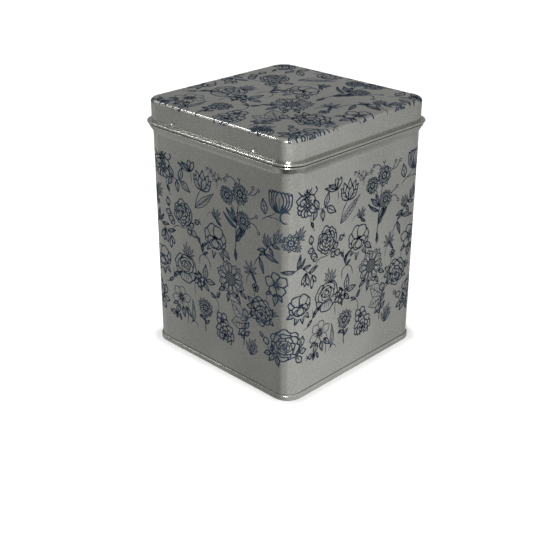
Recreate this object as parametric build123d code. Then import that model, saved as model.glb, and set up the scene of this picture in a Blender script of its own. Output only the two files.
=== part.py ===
from build123d import *

import os
from math import cos, radians, sin

# Square spice tin with a slip lid, made from thin tinplate: a seamed body wall,
# a base clinched onto the wall's lower edge, and a drawn lid with a folded lip.
# Millimetres, +Z up, origin at the centre of the base rim's flat underside.

# ---------------------------------------------------------------- driving dimensions
SIDE = 74.0              # body wall, outside, flat to flat
HEIGHT = 100.0           # underside of the base rim to the top of the lid
CORNER_R = 6.45          # outside corner radius of the body wall
SHEET = 0.25             # tinplate thickness
FOLD_GAP = 0.03          # air left between folded layers of sheet

# Stop bead: the outward fold of the wall that the lid's lip comes down to.
BEAD_NOSE = 1.55         # how far the bead stands out of the wall
BEAD_NOSE_R = 0.40       # outside radius of the bead's nose
BEAD_TOP_Z = 90.8        # top of the nose
BEAD_SLOPE = 2.7         # height of the sloping underside, from the nose to the wall
BEAD_SLOPE_R = 2.5       # the bend where that slope leaves the wall
BEAD_SHOULDER = 0.62     # the bead's upper side climbs this far on its way in to the neck
BEAD_SHOULDER_R = 0.40

# Neck: the part of the wall inside the lid, with a safe edge folded inwards.
NECK_INSET = 0.45        # the neck is this much smaller than the wall
NECK_TOP_Z = 99.1
HEM_FOLD_R = 0.33        # centreline radius of the fold
HEM_DEPTH = 1.1          # how far the folded edge comes back down

# Lid.
LID_SIDE = 74.8          # skirt, outside, flat to flat
LID_CORNER_R = 6.75      # outside corner radius of the skirt
LID_EDGE_R = 1.1         # outside radius between the lid's panel and its skirt

# Lip: the foot of the skirt turns out as a narrow ledge and folds back under itself.
LIP_REACH = 1.72         # how far the lip stands out of the skirt
LIP_TOP_Z = 91.95        # top of the ledge
LIP_NOSE_R = 0.46        # outside radius of the fold
LIP_ROOT_R = 0.16        # the bend from the skirt to the ledge
LIP_TAIL_SLOPE = 8       # degrees that the folded part drops on its way back in
LIP_TAIL_END = 0.45      # its cut edge stays this far outside the skirt

# Nibs: small dimples pressed inwards to hold the lid on the neck.
NIB_X = 21.0             # each side of the middle, on the front and the back
NIB_Z = 93.25
NIB_DIAMETER = 2.1
NIB_DEPTH = 0.46

# Base.
RIM_HEIGHT = 2.25        # clinched rim round the foot of the wall
RIM_BEND_R = 0.42        # outside radius of the rim's two lower bends
RIM_LEAN = 0.32          # the rim's upper edge leans in by this much,
RIM_LEAN_HEIGHT = 0.34   # over this height,
RIM_LEAN_R = 0.35        # with this bend
RIM_EDGE = 0.08          # and its centreline ends this far below the top
HOOK_TOP_Z = 1.6         # top of the wall's folded edge, inside the rim
HOOK_BOTTOM_Z = 0.40     # centreline of the fold below it
PANEL_Z = 2.70           # centreline of the recessed bottom panel
PANEL_BEND_R = 0.35      # the bend from the chuck wall to the panel
STEP_SIDE = 54.0         # raised square in the middle of the panel
STEP_CORNER_R = 6.0
STEP_HEIGHT = 0.45

# Lock seam down the middle of the back wall.
LOCK_WIDTH = 4.5
LOCK_DEPTH = 0.50        # thickness of the folded layers, inside the wall
LOCK_END_GAP = 0.5       # plain wall between the seam's ends and the bottom panel or the bead
LOCK_GROOVE = 0.24       # width of the line left outside
LOCK_GROOVE_DEPTH = 0.08

# ------------------------------------------------------------------- derived values
NOSE_CUT = 0.10          # rounding the bead's nose takes this much off its tip
HALF = SIDE / 2
LID_HALF = LID_SIDE / 2
WALL_MID = HALF - SHEET / 2
NECK_MID = WALL_MID - NECK_INSET
LID_SKIRT_MID = LID_HALF - SHEET / 2
LID_PANEL_MID_Z = HEIGHT - SHEET / 2
PLATE_OVERLAP = 1.5      # the flat panels overlap the swept edges by this much
PANEL_MARGIN = 2.5       # width of the swept part of the bottom panel
HAIR = 0.001             # kept off a bend's radius, so that a fold keeps a straight between its bends


def square_path(half, corner_r):
    """The closed outline of a rounded square, at z = 0."""
    return RectangleRounded(2 * half, 2 * half, corner_r).wire()


def sheet_round_square(centreline, half, corner_r):
    """Sheet metal that follows a section's centreline all round a rounded square.

    The centreline is drawn with x as the distance from the tin's axis and y as the height.
    """
    path = square_path(half, corner_r)
    tangent = path % 0
    outwards = tangent.cross(Vector(0, 0, 1))
    section_plane = Plane(origin=path @ 0, x_dir=outwards, z_dir=-tangent)
    section = section_plane * Pos(-half, 0) * trace(centreline, SHEET)
    return sweep(section.face(), path=path)


def square_plate(half, corner_r, bottom_z, thickness):
    """A flat rounded-square plate."""
    return Pos(0, 0, bottom_z) * extrude(RectangleRounded(2 * half, 2 * half, corner_r), thickness)


def wall_centreline():
    """From the hooked lower edge, up the wall, over the stop bead and the neck, to the hem."""
    hook_mid = WALL_MID + SHEET + FOLD_GAP
    nose_mid_r = BEAD_NOSE_R - SHEET / 2
    nose_tip = HALF + BEAD_NOSE - SHEET / 2 + NOSE_CUT
    nose_z = BEAD_TOP_Z - BEAD_NOSE_R
    hem_mid = NECK_MID - 2 * HEM_FOLD_R
    neck_top = NECK_TOP_Z - SHEET / 2
    corners = [
        (hook_mid, HOOK_TOP_Z),
        (hook_mid, HOOK_BOTTOM_Z),
        (WALL_MID, HOOK_BOTTOM_Z),
        (WALL_MID, nose_z - BEAD_SLOPE),
        (nose_tip, nose_z),
        (NECK_MID, nose_z + BEAD_SHOULDER),
        (NECK_MID, neck_top),
        (hem_mid, neck_top),
        (hem_mid, neck_top - HEM_DEPTH),
    ]
    fold_r = (SHEET + FOLD_GAP) / 2 - HAIR
    hem_r = HEM_FOLD_R - HAIR
    radii = [fold_r, fold_r, BEAD_SLOPE_R, nose_mid_r, BEAD_SHOULDER_R, hem_r, hem_r]
    return FilletPolyline(*corners, radius=radii)


def body_wall():
    """The wall, with its lock seam down the back."""
    wall = sheet_round_square(wall_centreline(), HALF, CORNER_R)
    lock_bottom = PANEL_Z + SHEET / 2 + LOCK_END_GAP
    lock_height = BEAD_TOP_Z - BEAD_NOSE_R - BEAD_SLOPE - LOCK_END_GAP - lock_bottom
    lock_y = HALF - SHEET - LOCK_DEPTH / 2
    lock = Pos(0, lock_y, lock_bottom + lock_height / 2) * Box(LOCK_WIDTH, LOCK_DEPTH, lock_height)
    groove = Pos(0, HALF, lock_bottom + lock_height / 2) * Box(
        LOCK_GROOVE, 2 * LOCK_GROOVE_DEPTH, lock_height
    )
    return wall + lock - groove


def base_end():
    """The bottom panel, its chuck wall and the rim clinched over the wall's hooked edge."""
    chuck_mid = WALL_MID - SHEET - FOLD_GAP
    rim_mid = WALL_MID + 2 * (SHEET + FOLD_GAP)
    foot_mid_z = SHEET / 2
    panel_edge = chuck_mid - PANEL_MARGIN
    corners = [
        (rim_mid - RIM_LEAN, RIM_HEIGHT - RIM_EDGE),
        (rim_mid, RIM_HEIGHT - RIM_EDGE - RIM_LEAN_HEIGHT),
        (rim_mid, foot_mid_z),
        (chuck_mid, foot_mid_z),
        (chuck_mid, PANEL_Z),
        (panel_edge, PANEL_Z),
    ]
    bend_r = RIM_BEND_R - SHEET / 2
    centreline = FilletPolyline(*corners, radius=[RIM_LEAN_R, bend_r, bend_r, PANEL_BEND_R])
    edge = sheet_round_square(centreline, HALF, CORNER_R)

    panel_half = panel_edge + PLATE_OVERLAP
    panel_corner_r = CORNER_R - (HALF - panel_half)
    panel_bottom = PANEL_Z - SHEET / 2
    panel = square_plate(panel_half, panel_corner_r, panel_bottom, SHEET)
    step = square_plate(STEP_SIDE / 2, STEP_CORNER_R, panel_bottom, SHEET + STEP_HEIGHT)
    pocket = square_plate(
        STEP_SIDE / 2 - SHEET, STEP_CORNER_R - SHEET, panel_bottom, STEP_HEIGHT
    )
    return edge + panel + step - pocket


def lid_centreline():
    """From the edge of the panel, over the rounded edge, down the skirt and round the lip."""
    panel_edge = LID_SKIRT_MID - LID_EDGE_R - PLATE_OVERLAP
    ledge_mid_z = LIP_TOP_Z - SHEET / 2
    nose_mid_r = LIP_NOSE_R - SHEET / 2
    half_slope = radians(LIP_TAIL_SLOPE / 2)
    nose_tip = LID_HALF + LIP_REACH - LIP_NOSE_R + nose_mid_r * cos(half_slope) / sin(half_slope)
    tail_x = LID_HALF + LIP_TAIL_END
    tail_z = ledge_mid_z - (nose_tip - tail_x) * sin(2 * half_slope) / cos(2 * half_slope)
    corners = [
        (panel_edge, LID_PANEL_MID_Z),
        (LID_SKIRT_MID, LID_PANEL_MID_Z),
        (LID_SKIRT_MID, ledge_mid_z),
        (nose_tip, ledge_mid_z),
        (tail_x, tail_z),
    ]
    radii = [LID_EDGE_R - SHEET / 2, LIP_ROOT_R, nose_mid_r]
    return FilletPolyline(*corners, radius=radii)


def lid():
    """The lid, with two nibs on the front and two on the back."""
    shell = sheet_round_square(lid_centreline(), LID_HALF, LID_CORNER_R)
    panel_half = LID_SKIRT_MID - LID_EDGE_R - PLATE_OVERLAP / 2
    panel_corner_r = LID_CORNER_R - (LID_HALF - panel_half)
    shell += square_plate(panel_half, panel_corner_r, HEIGHT - SHEET, SHEET)

    dimple_r = ((NIB_DIAMETER / 2) ** 2 + NIB_DEPTH**2) / (2 * NIB_DEPTH)
    dimple_y = LID_HALF - NIB_DEPTH + dimple_r
    bump_r = dimple_r + SHEET
    skirt_slab = Box(SIDE, 2 * LID_SKIRT_MID, 2 * NIB_DIAMETER)
    for side in (-1, 1):
        for x in (-NIB_X, NIB_X):
            centre = Pos(x, side * dimple_y, NIB_Z)
            bump = centre * Sphere(bump_r) & (Pos(0, 0, NIB_Z) * skirt_slab)
            shell = shell + bump - centre * Sphere(dimple_r)
    return shell


def write_part(name, shape):
    """One STEP file for one piece."""
    export_step(shape, f"parts/{name}.step")


os.makedirs("parts", exist_ok=True)
write_part("body_wall", body_wall())
write_part("base_end", base_end())
write_part("lid", lid())
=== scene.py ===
"""The looks of the square spice tin: tinplate, the blue line print and a plain studio.

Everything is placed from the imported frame. The print is drawn flat, laid on the sheet and only
then turned into metres, so its lengths and those of the tin's sheet are in millimetres. Lengths in
the materials and the studio are in metres.
"""

import math
import random

import bpy
import numpy as np
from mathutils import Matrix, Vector


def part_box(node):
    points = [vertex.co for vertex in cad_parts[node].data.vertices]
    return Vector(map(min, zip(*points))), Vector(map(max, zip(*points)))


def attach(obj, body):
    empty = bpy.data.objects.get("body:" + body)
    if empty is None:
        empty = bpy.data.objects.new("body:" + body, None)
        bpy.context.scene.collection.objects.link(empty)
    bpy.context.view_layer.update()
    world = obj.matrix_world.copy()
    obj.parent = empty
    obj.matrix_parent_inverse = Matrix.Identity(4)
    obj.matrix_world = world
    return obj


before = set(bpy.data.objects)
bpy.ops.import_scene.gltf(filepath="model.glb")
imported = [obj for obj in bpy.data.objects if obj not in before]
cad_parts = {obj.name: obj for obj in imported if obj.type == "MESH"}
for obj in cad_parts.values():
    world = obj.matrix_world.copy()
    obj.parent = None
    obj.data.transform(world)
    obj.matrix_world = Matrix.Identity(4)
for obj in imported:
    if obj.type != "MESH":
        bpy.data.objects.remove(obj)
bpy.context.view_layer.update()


def mm(value):
    return value * 0.001


# ------------------------------------------------------------------ pen and paper (mm)
PEN_STEP = 0.16           # spacing of the points along a line
OUTLINE = 0.52            # pen widths
FINE = 0.36
HATCH = 0.25
BOLD = 0.62
STEM = 0.30
SPRIG_PEN = 0.22
SPRAY_PEN = 0.24
PRESSURE = 0.14           # share by which a line's width wavers
LEAST_END = 0.30          # share of its width that a tapered end keeps
CURVE_STEPS = 12          # points between two given ones, before even spacing
FULL_TURN = 6.28          # radians, near enough for waves along a line
GOLDEN_ANGLE = 137.5      # degrees from one petal to the next in a wound flower
SMALL_LEAF = 2.6          # a shorter leaf has no rib
LARGE_LEAF = 4            # a longer one has a stronger rib
SPRAY_LEAF_WIDTH = 0.24   # share of its length


def resample(points):
    """The same line with its points evenly spaced."""
    points = np.asarray(points, float)
    gaps = np.hypot(*np.diff(points, axis=0).T)
    along = np.concatenate([[0], np.cumsum(gaps)])
    count = max(2, int(round(along[-1] / PEN_STEP)) + 1)
    at = np.linspace(0, along[-1], count)
    return np.column_stack([np.interp(at, along, points[:, k]) for k in (0, 1)])


def through(*points):
    """A smooth open line through given points."""
    p = np.asarray(points, float)
    if len(p) < 3:
        return resample(p)
    p = np.vstack([2 * p[0] - p[1], p, 2 * p[-1] - p[-2]])
    t = np.linspace(0, 1, CURVE_STEPS, endpoint=False)[:, None]
    runs = []
    for a, b, c, d in zip(p, p[1:], p[2:], p[3:]):
        curve = 2 * b + (c - a) * t + (2 * a - 5 * b + 4 * c - d) * t**2 + (3 * b - a - 3 * c + d) * t**3
        runs.append(0.5 * curve)
    return resample(np.vstack(runs + [p[-2:-1]]))


def inside(points, outline):
    """Which points lie inside a closed outline."""
    x, y = points[:, :1], points[:, 1:]
    x0, y0 = outline[:, 0], outline[:, 1]
    x1, y1 = np.roll(x0, -1), np.roll(y0, -1)
    spans = (y0 > y) != (y1 > y)
    slope = (x1 - x0) / np.where(y1 == y0, 1e-12, y1 - y0)
    crossings = spans & (x < x0 + slope * (y - y0))
    return crossings.sum(axis=1) % 2 == 1


def turned(points, angle):
    """Points turned about the origin; the angle is in degrees, anticlockwise."""
    c, s = math.cos(math.radians(angle)), math.sin(math.radians(angle))
    return np.asarray(points, float) @ np.array([[c, s], [-s, c]])


def ring(centre, radius, squash=1.0, start=0, sweep=360):
    """An arc or a whole circle as points."""
    count = max(8, int(abs(sweep) / 360 * 2 * math.pi * radius / PEN_STEP))
    a = np.radians(np.linspace(start, start + sweep, count))
    return np.column_stack([centre[0] + radius * np.cos(a), centre[1] + radius * squash * np.sin(a)])


class Drawing:
    """Pen lines on flat paper. A shape drawn later hides what it covers."""

    def __init__(self, seed):
        self.lines = []
        self.rng = random.Random(seed)

    def line(self, points, width=OUTLINE, taper=0.8):
        """A pen line; taper is how long each end takes to reach full width, 0 for a closed line."""
        points = resample(points)
        count = len(points)
        along = np.minimum(np.arange(count), np.arange(count)[::-1]) * PEN_STEP
        ends = np.clip(along / taper, LEAST_END, 1) if taper else np.ones(count)
        phase = self.rng.uniform(0, FULL_TURN)
        pressure = 1 + PRESSURE * np.sin(phase + np.arange(count) * PEN_STEP * 1.7)
        self.lines.append((points, width * ends * pressure))

    def hide(self, outline):
        """Rubs out what lies inside an outline."""
        kept = []
        for points, widths in self.lines:
            hidden = inside(points, outline)
            if not hidden.any():
                kept.append((points, widths))
                continue
            cuts = np.flatnonzero(np.diff(hidden.astype(int))) + 1
            for part, shut in zip(np.split(np.arange(len(points)), cuts), np.split(hidden, cuts)):
                if not shut[0] and len(part) > 2:
                    kept.append((points[part], widths[part]))
        self.lines = kept

    def shape(self, outline, width=OUTLINE):
        """A closed outline that covers what is behind it."""
        outline = np.asarray(outline, float)
        self.hide(outline)
        self.line(np.vstack([outline, outline[:1]]), width, taper=0)

    def place(self, other, at, turn=0):
        """Adds another drawing, moved and turned."""
        for points, widths in other.lines:
            self.lines.append((turned(points, turn) + at, widths))


# ------------------------------------------------------------------ petals and leaves
def blade(length, width, tip, waist=0.5, bend=0.0, ruffle=0.0, phase=0.0):
    """A petal or leaf outline from its base at (0, 0) up the y axis.

    tip: 0 is a long point, 1 is a round end. waist: where it is widest, from base (0) to tip (1).
    """
    t = np.linspace(0, 1, 40)
    rise = np.clip(t / waist, 0, 1)
    fall = np.clip((1 - t) / (1 - waist), 0, 1)
    above = np.sin(fall * math.pi / 2) ** (1.5 - tip)
    below = np.sin(rise * math.pi / 2) ** 0.9
    half = width / 2 * np.where(t > waist, above, below)
    wave = ruffle * np.sin(phase + np.arange(80) * 0.62)
    x = np.concatenate([-half, half[::-1]])
    y = np.concatenate([t, t[::-1]]) * length
    radial = np.concatenate([t, t[::-1]]) ** 2
    x = x * (1 + wave * radial) + bend * length * (y / length) ** 2
    y = y * (1 + 0.6 * wave * radial)
    return np.column_stack([x, y])


def leaf(d, at, angle, length, width=None, bend=0.0, veins=0, pen=OUTLINE, waist=0.42):
    """A pointed leaf growing from a point; the angle is from +x, anticlockwise."""
    width = width or length * 0.36
    outline = blade(length, width, 0.05, waist, bend)
    d.shape(turned(outline, angle - 90) + at, pen)
    if length < SMALL_LEAF:
        return
    t = np.linspace(0, 0.80, 12)
    rib = np.column_stack([bend * length * t**2, length * t])
    d.line(turned(rib, angle - 90) + at, FINE if length > LARGE_LEAF else HATCH, taper=1.2)
    for k in range(veins):
        t0 = 0.18 + 0.56 * k / max(veins - 1, 1)
        for side in (-1, 1):
            root = np.array([bend * length * t0**2, length * t0])
            reach = side * width * 0.33 * math.sin(math.pi * min(1, t0 + 0.12))
            tip = root + (reach, length * 0.13)
            vein = np.array([root, (root + tip) / 2 + (0, 0.03), tip])
            d.line(turned(vein, angle - 90) + at, HATCH, taper=0.5)


def petal(d, at, angle, length, width, tip=0.8, waist=0.62, bend=0.0, ruffle=0.0, hatch=3, pen=OUTLINE,
          reach=0.55):
    """A petal with a few fine lines rising from its base."""
    phase = d.rng.uniform(0, FULL_TURN)
    d.shape(turned(blade(length, width, tip, waist, bend, ruffle, phase), angle - 90) + at, pen)
    for k in range(hatch):
        spread = 0.0 if hatch == 1 else (k / (hatch - 1) - 0.5)
        top = reach * (1 - 0.35 * abs(2 * spread)) * d.rng.uniform(0.8, 1.1)
        t = np.linspace(0.10, top, 8)
        x = spread * width * 0.72 * np.sin(np.pi / 2 * np.clip(t / waist, 0, 1)) + bend * length * t**2
        d.line(turned(np.column_stack([x, length * t]), angle - 90) + at, HATCH, taper=0.7)


def stem(d, *points, width=STEM):
    d.line(through(*points), width, taper=1.0)


def spot(d, at, radius):
    """A small filled dot."""
    turns = max(1, int(radius / (FINE * 0.4)))
    for k in range(turns):
        d.line(ring(at, radius * (k + 0.7) / turns), FINE, taper=0)


def berry(d, root, knee, at, radius=0.55, filled=False):
    """A thin stalk that ends in a berry."""
    stem(d, root, knee, at, width=FINE)
    d.shape(ring(at, radius), FINE)
    if filled:
        spot(d, at, radius * 0.6)


def hatched_disc(d, at, radius, gap):
    """A round centre shaded with crossing fine lines."""
    d.shape(ring(at, radius), FINE)
    for angle in (35, 125):
        for k in np.arange(-radius + gap / 2, radius, gap):
            half = math.sqrt(max(radius**2 - k**2, 0)) * 0.94
            if half > 0.15:
                run = turned(np.array([[-half, k], [half, k]]), angle)
                d.line(run + at, HATCH, taper=0)


def ring_eye(d, at, radius):
    """A dark ring with a light middle and a dot."""
    d.shape(ring(at, radius), BOLD)
    spot(d, at, radius * 0.30)


# ------------------------------------------------------------------ flowers
def grey_daisy(seed, radius=6.4, petals=12):
    """An open daisy with doubled petal outlines and a shaded middle."""
    d = Drawing(seed)
    for layer, length, twist in ((0, 1.0, 0.5), (1, 0.93, 0.0)):
        for k in range(petals):
            angle = 360 * (k + twist) / petals + d.rng.uniform(-4, 4) + 90
            if layer == 0 and k % 2:
                continue
            size = radius * length * d.rng.uniform(0.93, 1.05)
            wide = radius * 0.40
            base = turned([(radius * 0.22, 0)], angle)[0]
            petal(d, base, angle, size - radius * 0.22, wide, tip=0.45, waist=0.6, hatch=0, pen=0.42)
            inner = blade((size - radius * 0.22) * 0.80, wide * 0.58, 0.4, 0.6)
            d.line(turned(inner, angle - 90) + base, HATCH, taper=0.3)
    hatched_disc(d, (0, 0), radius * 0.37, gap=0.62)
    return d


def dark_daisy(seed, radius=3.2, petals=15, eye=0.30):
    """A small, densely lined daisy with a ring eye."""
    d = Drawing(seed)
    for layer, reach in ((0, 1.0), (1, 0.80)):
        for k in range(petals):
            angle = 360 * (k + 0.5 * layer) / petals + d.rng.uniform(-5, 5)
            length = radius * reach * d.rng.uniform(0.90, 1.06)
            petal(d, (0, 0), angle, length, radius * 0.36, tip=0.35, waist=0.66, pen=FINE, reach=0.90)
    ring_eye(d, (0, 0), radius * eye)
    return d


def open_blossom(seed, radius=4.4, petals=5, start=90, ruffle=0.06, pen=OUTLINE):
    """A wide open flower with rounded petals and a shaded eye with stamens."""
    d = Drawing(seed)
    for k in range(petals):
        angle = start + 360 * k / petals + d.rng.uniform(-7, 7)
        length = radius * d.rng.uniform(0.93, 1.05)
        petal(d, (0, 0), angle, length, radius * 3.9 / petals, tip=0.95, waist=0.66, ruffle=ruffle, hatch=4,
              pen=pen, reach=0.60)
    for k in range(9):
        angle = 40 * k + d.rng.uniform(-10, 10)
        tip = turned([(radius * d.rng.uniform(0.30, 0.42), 0)], angle)[0]
        d.line([tip * 0.3, tip], FINE, taper=0)
        d.line(ring(tip, 0.16), FINE, taper=0)
    hatched_disc(d, (0, 0), radius * 0.17, gap=0.55)
    return d


PEONY_LAYERS = ((1.0, 7, 0.74), (0.76, 6, 0.70), (0.54, 5, 0.66), (0.33, 4, 0.66))


def peony(seed, radius=4.9, tilt=0.0, layers=PEONY_LAYERS):
    """A full, ruffled flower: rings of petals, each ring over the one outside it.

    Each layer is its reach as a share of the radius, how many petals it has, and how wide they are.
    """
    d = Drawing(seed)
    for depth, (reach, count, wide) in enumerate(layers):
        heart = np.array([0.0, -tilt * radius * depth / len(layers)])
        for k in range(count):
            angle = 360 * (k + 0.5 * (depth % 2)) / count + d.rng.uniform(-9, 9)
            length = radius * reach * d.rng.uniform(0.92, 1.06)
            petal(d, heart, angle, length, radius * wide * (0.55 + 0.45 * reach), tip=1.0, waist=0.74,
                  ruffle=0.09, hatch=3 if depth < 2 else 1, pen=OUTLINE if depth < 3 else 0.36, reach=0.80)
    d.line(ring(heart, radius * 0.15, start=20, sweep=300), FINE, taper=0.3)
    d.line(ring(heart + (0.1, 0), radius * 0.07, start=160, sweep=280), FINE, taper=0.3)
    return d


def rose(seed, radius=5.2):
    """A rose seen from the side and above: cupped petals wound round a dense heart."""
    d = Drawing(seed)
    for angle in (205, 335, 150, 30, 270):
        base = turned([(radius * 0.10, 0)], angle)[0]
        length = radius * d.rng.uniform(0.86, 0.98)
        petal(d, base, angle, length, radius * 1.12, tip=1.0, waist=0.66, ruffle=0.05, hatch=5, reach=0.93)
    heart = np.array([0.0, radius * 0.16])
    for k in range(9):
        size = radius * (0.66 - 0.062 * k)
        angle = GOLDEN_ANGLE * k + 60
        shift = turned([(size * 0.26, 0)], angle)[0]
        outline = ring(heart + shift, size, 0.86)
        wobble = 1 + 0.05 * np.sin(np.linspace(0, FULL_TURN * 4, len(outline)) + k)
        d.shape((outline - heart - shift) * wobble[:, None] + heart + shift, 0.46 if k < 4 else 0.36)
        for j in range(3):
            start = angle + 60 + 32 * j
            d.line(ring(heart + shift, size * (0.90 - 0.07 * j), 0.86, start, 46), HATCH, taper=0.6)
    return d


def poppy(seed, radius=5.6):
    """A wide bowl-shaped flower from the side, with scalloped petals and a shaded throat."""
    d = Drawing(seed)
    for angle, length, wide in ((178, 0.86, 0.66), (2, 0.88, 0.66), (146, 0.98, 0.74), (32, 0.98, 0.72),
                                (112, 1.05, 0.80), (68, 1.03, 0.80)):
        petal(d, (0, 0), angle + d.rng.uniform(-4, 4), radius * length, radius * wide, tip=1.0, waist=0.72,
              ruffle=0.05, hatch=2, reach=0.45)
    for k in range(22):
        angle = 14 + 152 * k / 21
        reach = radius * d.rng.uniform(0.24, 0.40)
        d.line([turned([(radius * 0.1, 0)], angle)[0], turned([(reach, 0)], angle)[0]], FINE, taper=0)
    for angle, length in ((196, 0.66), (344, 0.66), (238, 0.62), (302, 0.62)):
        petal(d, (0, radius * 0.06), angle, radius * length, radius * 0.56, tip=1.0, waist=0.66, ruffle=0.05,
              hatch=2, reach=0.5)
    petal(d, (0, radius * 0.14), 270, radius * 0.60, radius * 0.62, tip=1.0, waist=0.6, ruffle=0.04, hatch=3,
          reach=0.5)
    return d


def tulip(seed, size=8.0):
    """A tulip-like head of pointed petals, on its stem's top at (0, 0)."""
    d = Drawing(seed)
    for angle, length, hatch in ((134, 0.92, 4), (48, 0.92, 4), (117, 1.02, 4), (66, 1.0, 4), (91, 1.06, 5)):
        petal(d, (0, 0), angle, size * length, size * 0.34, tip=0.15, waist=0.55, hatch=hatch, pen=0.46,
              reach=0.75)
    for angle, length in ((146, 0.74), (36, 0.72), (108, 0.74), (72, 0.72)):
        petal(d, (0, 0), angle, size * length, size * 0.34, tip=0.25, waist=0.5, hatch=3, pen=0.50, reach=0.8)
    return d


def seed_head(seed, radius=4.0):
    """A round head of upright segments with a fringe of dots on top."""
    d = Drawing(seed)
    for k in range(13):
        angle = 36 + 9 * k
        tip = turned([(radius * d.rng.uniform(1.18, 1.34), 0)], angle)[0]
        d.line([tip * 0.6, tip], FINE, taper=0)
        d.line(ring(tip, 0.20), FINE, taper=0)
    foot = (0, -radius * 0.9)
    for angle, bend in ((146, 0.42), (34, -0.42), (128, 0.30), (52, -0.30), (110, 0.14), (70, -0.14),
                        (90, 0.0)):
        petal(d, foot, angle, radius * 1.8, radius * 0.78, tip=0.7, waist=0.58, bend=bend, hatch=3, reach=0.7)
    return d


def side_bud(d, root, at, angle, size=2.0):
    """A closed bud with two sepals on a short stalk."""
    stem(d, root, ((root[0] + at[0]) / 2 + 0.15, (root[1] + at[1]) / 2 - 0.1), at, width=0.24)
    petal(d, at, angle, size, size * 0.80, tip=0.5, waist=0.5, hatch=3, reach=0.8)
    for side in (-1, 1):
        leaf(d, at, angle + side * 42, size * 0.72, size * 0.26, pen=FINE)
    for k in (-18, 0, 18):
        tip = np.array(at) + turned([(size * 1.42, 0)], angle + k)[0]
        base = np.array(at) + turned([(size * 0.98, 0)], angle)[0]
        d.line([base, tip], FINE, taper=0)


def sprig(d, points, leaf_size=2.2, pairs=4, spread=48, first=0.3, veins=0):
    """A stem through points with leaves in pairs along it and one at its end."""
    path = through(*points)
    d.line(path, 0.25, taper=1.0)
    for k in range(pairs):
        share = first + (0.97 - first) * k / max(pairs - 1, 1) if pairs > 1 else first
        i = min(int(share * (len(path) - 1)), len(path) - 2)
        heading = math.degrees(math.atan2(*(path[i + 1] - path[i])[::-1]))
        shrink = 1 - 0.30 * k / max(pairs, 1)
        for side in (-1, 1):
            aside = side * (spread + d.rng.uniform(-8, 8))
            length = leaf_size * shrink * d.rng.uniform(0.9, 1.1)
            leaf(d, path[i], heading + aside, length, bend=-0.15 * side, veins=veins, pen=SPRIG_PEN)
    heading = math.degrees(math.atan2(*(path[-1] - path[-2])[::-1]))
    leaf(d, path[-1], heading, leaf_size * 0.9, pen=SPRIG_PEN)


def spray(d, at, heading, reach, fan, count):
    """Long blades that fan out of one point."""
    for k in range(count):
        share = k / (count - 1) - 0.5
        length = reach * (1 - 0.35 * abs(2 * share)) * d.rng.uniform(0.85, 1.1)
        angle = heading + fan * share + d.rng.uniform(-4, 4)
        leaf(d, at, angle, length, max(0.5, length * SPRAY_LEAF_WIDTH), bend=0.16 * share, pen=SPRAY_PEN)


# ------------------------------------------------------------------ the repeat
def put(d, flower, at, turn=0, cover=0.0):
    """Places a flower and first clears the paper under its middle."""
    if cover:
        d.hide(ring(at, cover))
    d.place(flower, at, turn)


def top_left_group(d):
    put(d, open_blossom(11, 5.0, 6, start=20, ruffle=0.10), (-28.4, 79.2))
    for angle, length in ((205, 5.0), (232, 4.6), (262, 4.4), (290, 4.6), (318, 4.8), (180, 4.6), (150, 4.0)):
        petal(d, (-28.2, 75.6), angle, length, 2.5, tip=0.9, waist=0.7, ruffle=0.06, hatch=3, reach=0.8)
    put(d, dark_daisy(12, 2.4, 9), (-28.2, 75.4), cover=2.0)
    for at, angle, length in (((-22.6, 72.6), 118, 4.8), ((-19.2, 72.4), 70, 5.4), ((-18.4, 72.0), -32, 6.0),
                              ((-20.6, 71.8), -84, 4.6), ((-23.4, 72.4), -120, 4.0)):
        leaf(d, at, angle, length, length * 0.44, veins=2)
    stem(d, (-25.6, 73.4), (-21.6, 72.2), (-17.6, 72.2))
    stem(d, (-26.2, 71.6), (-26.4, 68.2), (-24.2, 64.6))
    leaf(d, (-26.2, 68.6), -60, 2.6)


def bud_on_a_stalk(d):
    stem(d, (-12.2, 73.2), (-12.5, 75.4), (-12.9, 77.4))
    leaf(d, (-12.9, 77.2), 168, 7.0, 1.7, bend=0.06, veins=0)
    leaf(d, (-12.9, 77.3), 146, 5.4, 1.4, bend=-0.1)
    petal(d, (-12.9, 77.2), 100, 4.6, 2.0, tip=0.3, hatch=3, reach=0.8)
    petal(d, (-12.8, 77.2), 66, 4.4, 1.9, tip=0.3, hatch=2, reach=0.8)


def tulip_group(d):
    stem(d, (-7.4, 71.4), (-9.4, 68.4), (-10.9, 63.4), width=0.36)
    leaf(d, (-10.8, 63.6), 36, 13.4, 2.9, bend=-0.05, veins=6, pen=0.32)
    put(d, tulip(21, 7.6), (-6.6, 71.5), turn=-4)


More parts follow.
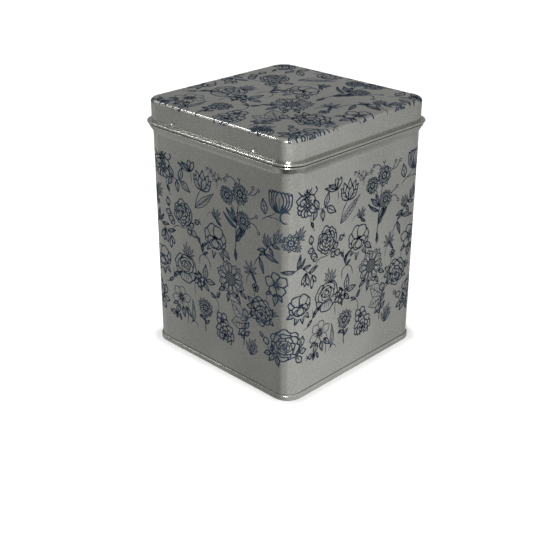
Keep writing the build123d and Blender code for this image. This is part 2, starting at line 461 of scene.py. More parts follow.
def three_daisies(d):
    berry(d, (12.4, 77.6), (9.6, 80.4), (6.8, 80.6))
    berry(d, (13.0, 78.6), (12.9, 79.8), (12.7, 81.0))
    berry(d, (16.0, 75.6), (18.4, 77.2), (19.6, 79.4))
    berry(d, (18.0, 76.6), (20.2, 77.0), (22.2, 79.2))
    berry(d, (17.2, 67.4), (19.2, 68.0), (21.2, 69.2))
    berry(d, (17.4, 66.2), (20.4, 65.8), (22.3, 63.4))
    stem(d, (12.6, 74.0), (11.6, 67.0), (10.9, 61.6), (10.6, 55.6), (9.8, 49.8), width=0.40)
    stem(d, (7.6, 72.0), (10.0, 68.4), (11.2, 63.6), width=0.28)
    leaf(d, (10.9, 64.2), 146, 6.6, 1.7, bend=0.10, veins=5)
    leaf(d, (10.9, 64.8), 122, 5.2, 1.4, bend=0.10, veins=4)
    leaf(d, (10.9, 62.2), 164, 7.4, 1.1, bend=0.32, veins=0)
    leaf(d, (10.8, 58.4), 42, 5.6, 2.0, bend=-0.42, veins=4)
    leaf(d, (11.6, 58.9), 22, 7.2, 1.2, bend=-0.62)
    leaf(d, (10.6, 57.0), 24, 6.0, 1.4, bend=-0.85, veins=3)
    leaf(d, (10.2, 53.6), -70, 4.4, 1.0, bend=0.25)
    put(d, dark_daisy(31, 3.6), (6.5, 73.3), cover=3.2)
    put(d, dark_daisy(32, 4.1, 16), (13.1, 75.5), cover=3.6)
    put(d, dark_daisy(33, 3.8), (14.5, 65.8), cover=3.3)


def seed_head_group(d):
    stem(d, (31.0, 74.0), (28.8, 72.2), (25.8, 70.6), (23.6, 68.8))
    stem(d, (26.6, 71.0), (29.8, 71.3), (32.4, 71.0))
    d.line(ring((34.3, 72.2), 2.0, 1.05, 40, 250), BOLD)
    leaf(d, (25.4, 71.6), 101, 5.6, 3.0, veins=3)
    put(d, seed_head(41, 4.2), (31.9, 77.6), cover=3.4)


def thistle_branch(d):
    stem(d, (19.7, 50.2), (21.6, 53.6), (24.6, 56.8), (27.8, 60.6), (31.6, 62.8), (35.6, 63.8), width=0.36)
    spray(d, (26.4, 59.4), 96, 5.6, 95, 6)
    spray(d, (29.8, 62.0), 62, 6.6, 60, 4)
    leaf(d, (25.8, 58.2), 196, 4.4, 1.4, veins=2)
    leaf(d, (25.4, 57.2), 214, 3.4, 1.0)
    leaf(d, (25.0, 56.4), -8, 7.0, 1.7, bend=0.05, veins=4)
    leaf(d, (22.4, 54.4), -62, 6.2, 1.5, bend=0.12, veins=3)
    leaf(d, (27.4, 59.6), -52, 3.4, 1.2)
    leaf(d, (28.6, 61.0), -8, 3.6, 1.2)
    put(d, dark_daisy(51, 3.6, 11), (36.2, 62.9), cover=2.2)
    spray(d, (38.6, 64.4), 40, 5.0, 130, 6)
    spray(d, (38.0, 61.4), -40, 3.6, 80, 4)


def peony_group(d):
    stem(d, (-24.2, 51.2), (-21.4, 53.4), (-17.0, 53.6), (-13.6, 56.4), (-11.0, 57.4))
    stem(d, (-22.6, 55.0), (-24.4, 57.4), (-26.0, 60.6))
    for at, angle, length in (((-25.8, 60.2), 98, 3.6), ((-24.4, 57.6), 172, 3.4), ((-22.8, 54.6), 158, 3.8),
                              ((-14.6, 55.0), 28, 3.4), ((-15.2, 54.2), -60, 3.2), ((-13.4, 54.0), -38, 3.8),
                              ((-22.6, 54.4), -158, 2.4)):
        leaf(d, at, angle, length, length * 0.62, veins=2, waist=0.52)
    side_bud(d, (-13.0, 56.8), (-11.2, 57.6), 20, 2.4)
    put(d, peony(61, 5.3, tilt=-0.16), (-17.8, 59.2), cover=4.6)


def small_sprigs(d):
    sprig(d, ((1.2, 74.6), (1.3, 77.0), (-0.6, 79.4), (-3.2, 81.0)), 2.1, 4)
    sprig(d, ((1.3, 76.8), (2.8, 78.8), (5.0, 78.9)), 1.9, 2, first=0.4)
    spray(d, (0.2, 62.4), 74, 5.2, 120, 5)
    stem(d, (-4.6, 62.4), (-2.4, 64.2), (0.2, 62.4), (2.6, 60.8), width=0.2)
    leaf(d, (0.6, 62.0), -32, 3.2, 0.9)
    spray(d, (18.2, 47.0), 104, 5.6, 190, 6)
    stem(d, (18.2, 47.0), (16.4, 44.6), (16.0, 41.8), width=0.26)
    leaf(d, (18.6, 46.8), -52, 3.8, 0.9)
    spray(d, (17.8, 13.2), 76, 8.6, 80, 6)
    spray(d, (17.4, 14.6), 52, 5.4, 60, 3)


def poppy_group(d):
    for at, angle, length in (((-1.8, 52.0), 228, 4.4), ((-0.6, 51.6), 262, 5.4), ((1.8, 51.4), 300, 5.0),
                              ((3.4, 52.0), 318, 5.6)):
        leaf(d, at, angle, length, length * 0.36, veins=2)
    put(d, poppy(71, 6.2), (-0.2, 53.6), cover=4.4)


def arched_stem(d):
    stem(d, (-8.8, 53.0), (-8.3, 49.2), (-7.0, 45.8), width=0.34)
    stem(d, (-9.2, 41.4), (-8.8, 44.6), (-6.6, 45.9), (-4.0, 44.6), (-2.8, 41.0), width=0.34)
    leaf(d, (-8.4, 50.0), 126, 3.0, 0.9)
    leaf(d, (-8.0, 48.6), 48, 4.6, 1.1, bend=0.2)
    leaf(d, (-7.4, 47.0), 82, 3.4, 0.9)
    leaf(d, (-6.8, 46.2), 30, 2.8, 0.8)


def grey_daisy_group(d):
    for at, angle, length in (((4.6, 36.4), 214, 4.2), ((6.6, 35.2), 262, 4.4), ((10.6, 35.6), 302, 4.0),
                              ((12.4, 37.6), 330, 4.2)):
        leaf(d, at, angle, length, veins=2)
    put(d, grey_daisy(81, 7.2), (7.6, 40.9), cover=5.2)


def right_blossom_group(d):
    leaf(d, (30.6, 43.0), -96, 5.2, 2.3, veins=3)
    leaf(d, (31.6, 43.0), -58, 3.4, 1.4, veins=1)
    stem(d, (28.6, 43.4), (26.6, 41.6), (25.8, 38.4), width=0.24)
    leaf(d, (28.2, 42.8), 214, 3.0, 1.2)
    put(d, open_blossom(91, 4.9, 5, start=100, ruffle=0.08), (30.7, 46.3), cover=3.4)


def right_peony_group(d):
    stem(d, (20.4, 41.2), (20.2, 39.4), (19.6, 37.2), width=0.24)
    put(d, open_blossom(92, 1.6, 5), (20.6, 41.8), cover=1.0)
    spray(d, (27.6, 34.0), 14, 4.6, 70, 4)
    for at, angle, length in (((19.6, 35.2), 150, 3.6), ((19.2, 33.6), 186, 3.2), ((19.8, 31.6), 216, 3.0),
                              ((27.0, 31.2), -30, 3.0)):
        leaf(d, at, angle, length, length * 0.55, veins=2)
    put(d, peony(93, 5.7, tilt=0.30), (23.6, 33.4), cover=4.8)


def round_leaves(d):
    stem(d, (19.0, 30.0), (16.2, 27.2), (15.0, 24.4), (14.8, 20.4), (14.2, 15.4), width=0.42)
    leaf(d, (15.6, 26.4), 152, 9.8, 5.6, bend=0.16, veins=4, pen=0.32, waist=0.5)
    leaf(d, (15.0, 25.0), 196, 7.6, 4.8, bend=0.06, veins=4, pen=0.32, waist=0.5)
    leaf(d, (16.0, 27.4), 108, 4.2, 2.8, veins=2, waist=0.55)
    leaf(d, (14.9, 22.6), 226, 5.0, 2.6, veins=2)
    leaf(d, (14.9, 23.0), 56, 4.0, 1.6, veins=2)
    leaf(d, (14.8, 20.0), 44, 3.8, 1.5, veins=2)
    leaf(d, (14.7, 18.4), 140, 2.6, 1.0)


def rose_group(d):
    spray(d, (-15.8, 42.0), 84, 6.4, 120, 6)
    stem(d, (-12.2, 32.6), (-12.4, 30.0), (-12.0, 27.6))
    stem(d, (-12.4, 33.6), (-8.4, 34.6), (-5.4, 35.4))
    for at, angle, length, wide in (((-6.4, 35.8), 84, 6.4, 2.6), ((-6.0, 35.4), 4, 5.4, 2.2),
                                    ((-7.4, 34.4), -44, 4.4, 1.8), ((-9.0, 33.8), -82, 3.6, 1.5),
                                    ((-8.2, 35.6), 128, 3.2, 1.3)):
        leaf(d, at, angle, length, wide, veins=3)
    put(d, open_blossom(101, 3.1, 6, ruffle=0.10), (-9.6, 34.4), cover=2.0)
    put(d, rose(102, 5.9), (-17.2, 37.2), cover=4.8)


def lower_left_group(d):
    for at, angle, length in (((-21.6, 19.8), 246, 5.4), ((-19.8, 19.6), 282, 4.8), ((-18.2, 20.0), 314, 5.0),
                              ((-22.6, 20.6), 210, 3.4)):
        leaf(d, at, angle, length, length * 0.38, veins=2)
    stem(d, (-17.6, 20.4), (-16.8, 17.0), (-17.2, 12.6))
    put(d, open_blossom(111, 5.3, 6, start=75, ruffle=0.07, pen=0.31), (-20.5, 23.2), cover=3.8)
    side_bud(d, (-21.6, 17.6), (-24.0, 15.2), 178, 2.6)
    leaf(d, (-23.0, 15.4), 250, 2.6)
    leaf(d, (-22.0, 15.6), 292, 2.8)


def curved_blade(d):
    leaf(d, (-14.2, 14.6), 72, 9.6, 1.9, bend=-0.30, pen=0.36)
    stem(d, (-15.4, 13.6), (-13.6, 15.6), (-11.8, 14.8), (-11.0, 13.4), width=0.30)


def dark_daisy_on_a_stem(d):
    stem(d, (-6.6, 21.0), (-6.9, 17.0), (-6.6, 12.6), width=0.42)
    leaf(d, (-6.8, 18.0), 142, 3.2, 1.2, veins=1)
    leaf(d, (-6.8, 16.8), 42, 3.2, 1.1, veins=1)
    berry(d, (-6.9, 18.6), (-8.4, 19.6), (-9.5, 19.2), 0.5, filled=True)
    put(d, dark_daisy(121, 4.2, 14, 0.27), (-6.6, 23.6), cover=3.4)


def flower_pair(d):
    put(d, open_blossom(131, 3.4, 5, start=60, ruffle=0.06), (2.7, 21.9), cover=2.4)
    layers = ((1.0, 7, 0.66), (0.66, 6, 0.62), (0.38, 5, 0.6))
    put(d, peony(132, 5.0, tilt=0.2, layers=layers), (4.2, 16.6), cover=4.2)


def corner_peony_group(d):
    stem(d, (31.2, 18.6), (28.0, 18.4), (26.4, 21.0), width=0.34)
    spray(d, (24.2, 23.2), 132, 2.6, 100, 4)
    leaf(d, (29.8, 18.4), 238, 4.6, 2.2, veins=2)
    leaf(d, (28.2, 18.4), 206, 3.8, 1.8, veins=2)
    leaf(d, (31.0, 18.0), 284, 4.4, 1.8, veins=2)
    leaf(d, (28.6, 18.8), 82, 3.2, 1.4)
    petal(d, (26.4, 20.8), 108, 3.0, 2.8, tip=0.7, waist=0.5, hatch=3)
    stem(d, (37.6, 18.2), (39.8, 19.8), (41.4, 23.0))
    for at, angle, length in (((40.6, 21.2), 78, 4.6), ((40.0, 19.6), -6, 3.6), ((38.6, 18.2), -52, 4.2),
                              ((39.4, 19.0), 118, 2.6)):
        leaf(d, at, angle, length, length * 0.6, veins=2, waist=0.52)
    layers = ((1.0, 7, 0.76), (0.80, 6, 0.74), (0.58, 6, 0.62), (0.38, 5, 0.62), (0.22, 3, 0.7))
    put(d, peony(141, 6.4, tilt=0.12, layers=layers), (34.6, 22.9), cover=5.6)


def left_poppy_group(d):
    for at, angle, length in (((-31.6, 35.2), 246, 4.6), ((-30.2, 34.8), 276, 4.4), ((-28.8, 35.0), 306, 3.8),
                              ((-33.2, 35.6), 214, 3.8)):
        leaf(d, at, angle, length, length * 0.40, veins=2)
    put(d, poppy(151, 5.4), (-30.9, 37.0), cover=3.8)
    stem(d, (-29.4, 27.6), (-26.0, 28.6), (-24.4, 31.8), (-24.6, 34.8), width=0.26)
    leaf(d, (-24.5, 31.0), 38, 3.4, 1.2, bend=-0.3, veins=2)
    leaf(d, (-24.9, 30.2), 216, 3.0, 1.1, veins=1)
    leaf(d, (-24.4, 32.4), 12, 4.8, 1.3, bend=-0.30, veins=2)


def left_lily_group(d):
    stem(d, (-34.6, 51.4), (-31.4, 53.0), (-28.6, 51.0), (-24.8, 48.0), width=0.30)
    leaf(d, (-32.4, 52.6), 78, 5.8, 1.3)
    leaf(d, (-33.6, 52.2), 196, 5.0, 1.4, bend=0.2)
    leaf(d, (-31.2, 53.0), 52, 3.8, 1.0)
    leaf(d, (-30.0, 52.2), 4, 4.0, 1.1)
    leaf(d, (-27.0, 49.6), 18, 5.0, 1.4)
    for angle, length in ((262, 5.2), (284, 5.6), (240, 4.6)):
        petal(d, (-28.4, 50.2), angle, length, 1.7, tip=0.3, hatch=3, reach=0.8)
    petal(d, (-25.2, 48.2), 268, 5.2, 1.6, tip=0.3, hatch=2, reach=0.8)
    petal(d, (-25.0, 48.2), 300, 3.6, 1.4, tip=0.3, hatch=2, reach=0.8)


def tendrils(d):
    stem(d, (-3.8, 30.2), (-1.8, 29.8), (-0.4, 29.8), (1.0, 27.4), (0.6, 24.8), (-0.6, 25.2))
    stem(d, (-0.4, 29.8), (-0.2, 31.8), (1.8, 34.0), width=0.26)
    leaf(d, (-0.6, 29.9), 150, 3.2, 0.9)
    leaf(d, (0.2, 30.4), 58, 3.2, 0.9)


GROUPS = (
    top_left_group, bud_on_a_stalk, tulip_group, three_daisies, seed_head_group, thistle_branch, peony_group,
    small_sprigs, poppy_group, arched_stem, grey_daisy_group, right_blossom_group, right_peony_group,
    round_leaves, rose_group, lower_left_group, curved_blade, dark_daisy_on_a_stem, flower_pair,
    corner_peony_group, left_poppy_group, left_lily_group, tendrils,
)


def repeat():
    """One repeat of the print, as pen lines in millimetres: x round the tin, y up."""
    tile = Drawing(0)
    for number, group in enumerate(GROUPS):
        sheet = Drawing(1000 + number)
        group(sheet)
        tile.place(sheet, (0, 0))
    return tile.lines


def lid_border():
    """Sprigs that run off the lid's panel and over its edge, measured from the panel's middle."""
    d = Drawing(2000)
    sprig(d, ((-29.6, -31.4), (-32.4, -34.0), (-34.2, -38.4)), 3.2, 3, spread=44, veins=1)
    sprig(d, ((-23.4, -32.0), (-21.6, -35.2), (-20.8, -39.0)), 2.4, 2, spread=50)
    leaf(d, (-19.0, -32.8), 288, 6.6, 1.8)
    sprig(d, ((-11.0, -31.6), (-8.8, -35.0), (-8.4, -39.0)), 2.2, 2, spread=55)
    sprig(d, ((20.8, -30.6), (19.2, -34.6), (18.4, -39.0)), 3.0, 3, spread=46, veins=1)
    leaf(d, (23.4, -32.4), 262, 6.8, 2.4, veins=2)
    leaf(d, (24.0, -32.2), 300, 6.4, 2.2, veins=2)
    sprig(d, ((31.4, -16.6), (34.8, -15.8), (39.0, -14.0)), 2.6, 3, spread=48)
    sprig(d, ((31.6, 10.6), (34.6, 12.2), (39.0, 12.6)), 2.4, 2, spread=50)
    sprig(d, ((30.8, 28.4), (33.8, 31.6), (38.6, 33.4)), 3.0, 3, spread=46, veins=1)
    leaf(d, (31.6, 26.4), -8, 6.4, 2.2, veins=2)
    return d.lines


# ------------------------------------------------------------------ where the print goes
RIM_PROUD = 0.56          # the base rim stands this far out of the wall
WALL_CORNER_R = 6.45      # corners seen from above
LIP_PROUD = 1.72          # the lid's lip stands this far out of its skirt
LID_CORNER_R = 6.75
LID_EDGE_R = 1.1          # the rounded edge from the lid's panel to its skirt
BAND_LOW = 13.0           # the printed band on the wall
BAND_HIGH = 81.4
LID_PRINT_SCALE = 1.146   # the lid carries the same repeat, a little larger
LID_PRINT_CENTRE = (0.9, 45.8)   # the point of the repeat that lies on the panel's middle
LID_PRINT_OVERHANG = 0.35 # how far the lid's print runs onto the skirt
INK_TOP = 0.020           # height of the ink's face over the sheet
INK_SUNK = 0.035          # depth of its hidden back, inside the sheet
INK_TOLERANCE = 0.010     # how far a straight piece of a line may leave its curve
LONGEST_PIECE = 6         # pen steps in one straight piece

WALL_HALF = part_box("base_end")[1].x * 1000 - RIM_PROUD
LID_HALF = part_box("lid")[1].x * 1000 - LIP_PROUD
LID_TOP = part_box("lid")[1].z * 1000


class RoundedSquare:
    """A rounded square's outline, measured by the distance run round it from the middle of its front."""

    def __init__(self, half, corner_r):
        self.half = half
        self.corner_r = corner_r
        self.flat = half - corner_r
        self.quarter = 2 * self.flat + math.pi / 2 * corner_r

    def at(self, run):
        """Points on the outline, and its outward normals."""
        side = np.floor((run + self.quarter / 2) / self.quarter)
        run = run - side * self.quarter
        past = np.clip(np.abs(run) - self.flat, 0, None) / self.corner_r
        angle = np.sign(run) * past
        x = np.clip(run, -self.flat, self.flat) + self.corner_r * np.sin(angle)
        y = -self.flat - self.corner_r * np.cos(angle)
        turn = side * math.pi / 2
        c, s = np.cos(turn), np.sin(turn)
        point = np.column_stack([c * x - s * y, s * x + c * y])
        nx, ny = np.sin(angle), -np.cos(angle)
        normal = np.column_stack([c * nx - s * ny, s * nx + c * ny])
        return point, normal


def on_wall(points, height):
    """Places flat print on the tin's wall, this far above the sheet."""
    outline = RoundedSquare(WALL_HALF, WALL_CORNER_R)
    place, normal = outline.at(points[:, 0])
    place = place + normal * height
    return np.column_stack([place, points[:, 1]])


def on_lid(points, height):
    """Places flat print on the lid's panel, and rolls what passes its edge down over the rounded edge."""
    flat_half = LID_HALF - LID_EDGE_R
    corner_r = LID_CORNER_R - LID_EDGE_R
    core = flat_half - corner_r
    x, y = points.T
    near = np.column_stack([np.clip(x, -core, core), np.clip(y, -core, core)])
    away = points - near
    reach = np.hypot(*away.T)
    out = away / np.maximum(reach, 1e-9)[:, None]
    over = np.clip(reach - corner_r, 0, None)
    quarter = LID_EDGE_R * math.pi / 2
    angle = np.clip(over, 0, quarter) / LID_EDGE_R
    below = np.clip(over - quarter, 0, None)
    r = LID_EDGE_R + height
    radial = np.minimum(reach, corner_r) + r * np.sin(angle)
    z = LID_TOP - LID_EDGE_R + r * np.cos(angle) - below
    return np.column_stack([near + out * radial[:, None], z])


def lid_reach(points):
    """How far print points lie outside the lid's flat panel."""
    corner_r = LID_CORNER_R - LID_EDGE_R
    core = LID_HALF - LID_EDGE_R - corner_r
    away = points - np.clip(points, -core, core)
    return np.hypot(*away.T) - corner_r


# ------------------------------------------------------------------ ink
def runs_of(keep):
    """The index ranges where a mask stays true."""
    edges = np.flatnonzero(np.diff(np.concatenate([[0], keep.astype(int), [0]])))
    return [(a, b) for a, b in zip(edges[::2], edges[1::2]) if b - a > 2]


def thin_out(points, widths, wrap):
    """Drops points that a straight run on the wrapped sheet would pass within the tolerance of."""
    place = wrap(points, 0.0)
    kept = [0]
    last = len(points) - 1
    while kept[-1] < last:
        a = kept[-1]
        b = min(a + LONGEST_PIECE, last)
        while b > a + 1:
            chord = place[b] - place[a]
            off = place[a + 1:b] - place[a]
            gap = np.linalg.norm(np.cross(off, chord), axis=1) / max(np.linalg.norm(chord), 1e-9)
            if gap.max() < INK_TOLERANCE:
                break
            b -= 1
        kept.append(b)
    return points[kept], widths[kept]


def ribbon(points, widths):
    """The two edges of a pen line."""
    ahead = np.gradient(points, axis=0)
    ahead /= np.maximum(np.hypot(*ahead.T), 1e-9)[:, None]
    across = np.column_stack([-ahead[:, 1], ahead[:, 0]]) * widths[:, None] / 2
    return points + across, points - across


def ink_mesh(name, lines, wrap):
    """One closed, very thin solid per pen line, laid on the sheet by wrap(points, height)."""
    verts, faces, start = [], [], 0
    for points, widths in lines:
        points, widths = thin_out(points, widths, wrap)
        count = len(points)
        left, right = ribbon(points, widths)
        verts += [wrap(left, INK_TOP), wrap(right, INK_TOP), wrap(right, -INK_SUNK), wrap(left, -INK_SUNK)]
        k = np.arange(count - 1)
        rows = [start + count * i for i in range(4)]
        for a, b in zip(rows, rows[1:] + rows[:1]):
            faces.append(np.column_stack([a + k, b + k, b + k + 1, a + k + 1]))
        faces.append(np.array([[rows[3], rows[2], rows[1], rows[0]]]))
        faces.append(np.array([rows]) + count - 1)
        start += 4 * count
    verts = mm(np.vstack(verts))
    faces = np.vstack(faces)
    mesh = bpy.data.meshes.new(name)
    mesh.from_pydata(verts.tolist(), [], faces.tolist())
    mesh.validate()
    mesh.update()
    piece = bpy.data.objects.new(name, mesh)
    bpy.context.scene.collection.objects.link(piece)
    return piece


def trimmed(lines, keep):
    """The parts of the lines whose points pass the test."""
    return [(p[a:b], w[a:b]) for p, w in lines for a, b in runs_of(keep(p))]


def print_walls(lines):
    """The band on the wall: the same repeat once on each side."""
    outline = RoundedSquare(WALL_HALF, WALL_CORNER_R)
    band = trimmed(lines, lambda p: (p[:, 1] > BAND_LOW) & (p[:, 1] < BAND_HIGH))
    pieces = []
    for number, side in enumerate(("front", "right", "back", "left")):
        moved = [(p + (number * outline.quarter, 0), w) for p, w in band]
        pieces.append(ink_mesh("print_" + side, moved, on_wall))
    return pieces


def print_lid(lines):
    """The lid's print: the repeat over the panel, with sprigs that run over its edge."""
    limit = LID_EDGE_R * math.pi / 2 + LID_PRINT_OVERHANG
    scaled = [((p - LID_PRINT_CENTRE) * LID_PRINT_SCALE, w * LID_PRINT_SCALE) for p, w in lines]
    scaled += lid_border()
    return ink_mesh("print_lid", trimmed(scaled, lambda p: lid_reach(p) < limit), on_lid)


# ------------------------------------------------------------------ materials
METAL_DARK = (0.352, 0.352, 0.328)
METAL_LIGHT = (0.496, 0.498, 0.466)
INK_DARK = (0.002, 0.008, 0.016)
INK_LIGHT = (0.006, 0.017, 0.037)

METAL_CLOUDS = 45         # noise scales, in cells to a metre
METAL_GRAIN = 2600
METAL_HAZE = 120
INK_DENSITY = 900
INK_PATCHES = 130
PAPER_FIBRE = 60
GRAIN_HEIGHT = 0.000016   # metres
GRAIN_SHARE = 0.7         # of the tone, against the clouds

WALL_GLOSS = (0.15, 0.21) # least and most roughness
LID_GLOSS = (0.20, 0.27)


def node_material(name):
    """A new material, with its node tree and its shader."""
    material = bpy.data.materials.new(name)
    material.use_nodes = True
    tree = material.node_tree
    shader = tree.nodes["Principled BSDF"]
    return material, tree, shader


def noise(tree, scale, detail):
    """Noise fixed to the object, at this many cells to a metre."""
    place = tree.nodes.new("ShaderNodeTexCoord")
    texture = tree.nodes.new("ShaderNodeTexNoise")
    texture.inputs["Scale"].default_value = scale
    texture.inputs["Detail"].default_value = detail
    tree.links.new(place.outputs["Object"], texture.inputs["Vector"])
    return texture.outputs["Fac"]


def ramp(tree, source, stops):
    """A colour ramp over a value; stops are (position, colour or grey)."""
    node = tree.nodes.new("ShaderNodeValToRGB")
    node.color_ramp.elements[0].position = stops[0][0]
    node.color_ramp.elements[1].position = stops[-1][0]
    for stop in stops[1:-1]:
        node.color_ramp.elements.new(stop[0])
    for element, stop in zip(node.color_ramp.elements, stops):
        colour = (stop[1],) * 3 if isinstance(stop[1], float) else stop[1]
        element.color = (*colour, 1)
    tree.links.new(source, node.inputs["Fac"])
    return node.outputs["Color"]


def bump(tree, shader, height, distance, strength):
    """Fine relief on a shader's normal; the distance is in metres."""
    node = tree.nodes.new("ShaderNodeBump")
    node.inputs["Distance"].default_value = distance
    node.inputs["Strength"].default_value = strength
    tree.links.new(height, node.inputs["Height"])
    tree.links.new(node.outputs["Normal"], shader.inputs["Normal"])


def math_node(tree, operation, *values):
    """A sum on sockets or numbers."""
    node = tree.nodes.new("ShaderNodeMath")
    node.operation = operation
    for socket, value in zip(node.inputs, values):
        if isinstance(value, (int, float)):
            socket.default_value = value
        else:
            tree.links.new(value, socket)
    return node.outputs["Value"]


def tinplate(name, smooth, rough):
    """Satin tinplate: fine grain, cloudy tone and slightly uneven gloss."""
    material, tree, shader = node_material(name)
    shader.inputs["Metallic"].default_value = 1.0
    clouds = noise(tree, METAL_CLOUDS, 4)
    grain = noise(tree, METAL_GRAIN, 2)
    tone = tree.nodes.new("ShaderNodeMix")
    tone.data_type = "FLOAT"
    tone.inputs["Factor"].default_value = GRAIN_SHARE
    tree.links.new(clouds, tone.inputs["A"])
    tree.links.new(grain, tone.inputs["B"])
    colour = ramp(tree, tone.outputs["Result"], ((0.39, METAL_DARK), (0.61, METAL_LIGHT)))
    tree.links.new(colour, shader.inputs["Base Color"])
    haze = noise(tree, METAL_HAZE, 5)
    mix = tree.nodes.new("ShaderNodeMix")
    mix.data_type = "RGBA"
    mix.inputs["Factor"].default_value = 0.5
    tree.links.new(ramp(tree, haze, ((0.3, smooth), (0.7, rough))), mix.inputs["A"])
    tree.links.new(ramp(tree, grain, ((0.3, smooth), (0.7, rough))), mix.inputs["B"])
    tree.links.new(mix.outputs["Result"], shader.inputs["Roughness"])
    bump(tree, shader, grain, GRAIN_HEIGHT, 0.5)
    return material


def ink(name):
    """Navy litho ink, a little thin and uneven, with a soft gloss."""
    material, tree, shader = node_material(name)
    density = noise(tree, INK_DENSITY, 3)
    patches = noise(tree, INK_PATCHES, 2)
    mix = tree.nodes.new("ShaderNodeMix")
    mix.data_type = "FLOAT"
    mix.inputs["Factor"].default_value = 0.45
    tree.links.new(density, mix.inputs["A"])
    tree.links.new(patches, mix.inputs["B"])
    colour = ramp(tree, mix.outputs["Result"], ((0.35, INK_DARK), (0.68, INK_LIGHT)))
    tree.links.new(colour, shader.inputs["Base Color"])
    tree.links.new(ramp(tree, density, ((0.3, 0.42), (0.7, 0.58))), shader.inputs["Roughness"])
    shader.inputs["Specular IOR Level"].default_value = 0.2
    return material


def finish_metal():
    """Tinplate on the three CAD pieces, a little duller on the lid."""
    for node, gloss in (("body_wall", WALL_GLOSS), ("base_end", WALL_GLOSS), ("lid", LID_GLOSS)):
        material = tinplate("tinplate_" + node, *gloss)
        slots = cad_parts[node].data.materials
        for k in range(len(slots)):
            slots[k] = material


# ------------------------------------------------------------------ studio
CAMERA_AZIMUTH = 44.604
CAMERA_ELEVATION = 25.405
CAMERA_DISTANCE = 0.409856
CAMERA_LENS = 67.21       # focal length on a 36 mm sensor
CAMERA_RIGHT = -0.007401  # how far the line of sight passes beside and above the tin's origin
CAMERA_UP = 0.027814
FLOOR_HALF = 4.0
FLOOR_THICKNESS = 0.02


def direction(azimuth, elevation):
    """From the tin towards a place: azimuth 0 is the front (-Y), 90 is +X."""
    a, e = math.radians(azimuth), math.radians(elevation)
    return Vector((math.sin(a) * math.cos(e), -math.cos(a) * math.cos(e), math.sin(e)))


def add_camera():
    """The camera, at the photograph's angle."""
    data = bpy.data.cameras.new("camera")
    data.sensor_width = 36.0
    data.lens = CAMERA_LENS
    data.clip_start = 0.01
    data.clip_end = 50
    camera = bpy.data.objects.new("camera", data)
    back = direction(CAMERA_AZIMUTH, CAMERA_ELEVATION)
    right = direction(CAMERA_AZIMUTH + 90, 0)
    up = back.cross(right)
    camera.location = right * CAMERA_RIGHT + up * CAMERA_UP + back * CAMERA_DISTANCE
    camera.rotation_mode = "QUATERNION"
    camera.rotation_quaternion = (-back).to_track_quat("-Z", "Y")
    bpy.context.scene.collection.objects.link(camera)
    bpy.context.scene.camera = camera


def add_lamp(name, azimuth, elevation, distance, size, watts, in_metal=True):
    """A rectangular lamp that faces the middle of the tin."""
    data = bpy.data.lights.new(name, "AREA")
    data.shape = "RECTANGLE"
    data.size, data.size_y = size
    data.energy = watts
    lamp = bpy.data.objects.new(name, data)
    towards = direction(azimuth, elevation)
    lamp.location = Vector((0, 0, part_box("lid")[0].z)) + towards * distance
    lamp.rotation_mode = "QUATERNION"
    lamp.rotation_quaternion = (-towards).to_track_quat("-Z", "Y")
    lamp.visible_glossy = in_metal
    bpy.context.scene.collection.objects.link(lamp)


def add_floor():
    """Plain white paper. The metal mirrors the light tent instead of it."""
    half = FLOOR_HALF
    outline = ((-half, -half), (half, -half), (half, half), (-half, half))
    corners = [(x, y, z) for z in (-FLOOR_THICKNESS, 0) for x, y in outline]
    sides = [(0, 1, 5, 4), (1, 2, 6, 5), (2, 3, 7, 6), (3, 0, 4, 7)]
    mesh = bpy.data.meshes.new("floor")
    mesh.from_pydata(corners, [], [(3, 2, 1, 0), (4, 5, 6, 7)] + sides)
    floor = bpy.data.objects.new("floor", mesh)
    floor.visible_glossy = False
    bpy.context.scene.collection.objects.link(floor)
    material, tree, shader = node_material("floor_paper")
    paper = noise(tree, PAPER_FIBRE, 4)
    tree.links.new(ramp(tree, paper, ((0.3, 0.84), (0.7, 0.88))), shader.inputs["Base Color"])
    shader.inputs["Roughness"].default_value = 0.9
    shader.inputs["Specular IOR Level"].default_value = 0.1
    mesh.materials.append(material)


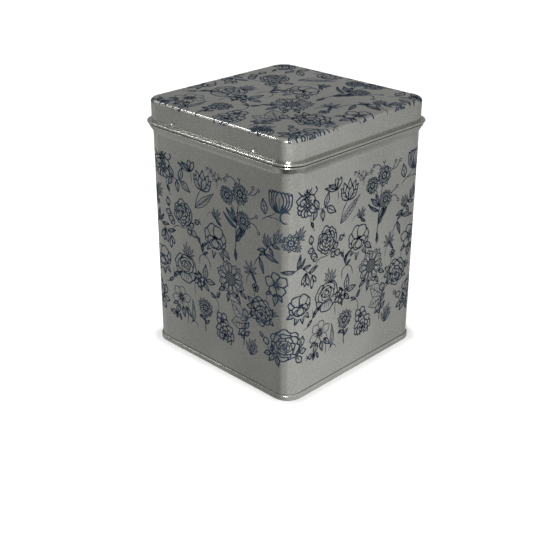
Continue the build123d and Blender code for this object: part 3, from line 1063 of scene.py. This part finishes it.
# brightness of the light tent round the tin, by azimuth and by elevation, in degrees
TENT_ROUND = (
    (-180, 0.46), (-165, 0.36), (-105, 0.36), (-70, 0.52), (-50, 0.48), (-48, 0.35), (-46, 0.335), (-9, 0.34),
    (10, 0.54), (36, 0.60), (50, 0.78), (118, 0.77), (139, 0.86), (142, 0.48), (180, 0.46),
)
TENT_UP = ((-90, 0.35), (-74, 0.35), (-62, 1.0), (30, 1.0), (60, 1.5), (90, 1.6))


def add_tent():
    """Soft light from all round, set by direction only, so it holds still whatever looks at the tin."""
    world = bpy.data.worlds.new("light_tent")
    world.use_nodes = True
    tree = world.node_tree
    light = tree.nodes["Background"]
    light.inputs["Color"].default_value = (1, 1, 1, 1)
    place = tree.nodes.new("ShaderNodeTexCoord")
    split = tree.nodes.new("ShaderNodeSeparateXYZ")
    tree.links.new(place.outputs["Generated"], split.inputs["Vector"])
    back = math_node(tree, "MULTIPLY", split.outputs["Y"], -1)
    turn = math_node(tree, "ARCTAN2", split.outputs["X"], back)
    share = math_node(tree, "MULTIPLY_ADD", turn, 0.5 / math.pi, 0.5)
    height = math_node(tree, "MULTIPLY_ADD", split.outputs["Z"], 0.5, 0.5)
    around = ramp(tree, share, [(a / 360 + 0.5, level) for a, level in TENT_ROUND])
    up = ramp(tree, height, [(math.sin(math.radians(e)) / 2 + 0.5, level / 2) for e, level in TENT_UP])
    product = math_node(tree, "MULTIPLY", around, up)
    tree.links.new(math_node(tree, "MULTIPLY", product, 2), light.inputs["Strength"])
    bpy.context.scene.world = world


def add_studio():
    add_camera()
    add_floor()
    add_tent()
    add_lamp("edge_lamp", azimuth=-60, elevation=41, distance=0.8, size=(0.08, 0.06), watts=0.6)
    add_lamp("low_lamp", azimuth=-43, elevation=14, distance=0.8, size=(0.08, 0.05), watts=0.13)
    add_lamp("front_lamp", azimuth=35, elevation=8, distance=0.8, size=(0.24, 0.14), watts=6)
    add_lamp("overhead", azimuth=0, elevation=90, distance=2, size=(3.0, 3.0), watts=12, in_metal=False)
    add_lamp("zenith_spot", azimuth=0, elevation=90, distance=2, size=(0.10, 0.10), watts=24, in_metal=False)
    bpy.context.scene.view_settings.view_transform = "Standard"


# ------------------------------------------------------------------ everything
finish_metal()
lines = repeat()
blue = ink("printed_ink")
for piece, body in [(p, "tin") for p in print_walls(lines)] + [(print_lid(lines), "lid")]:
    piece.data.materials.append(blue)
    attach(piece, body)
add_studio()
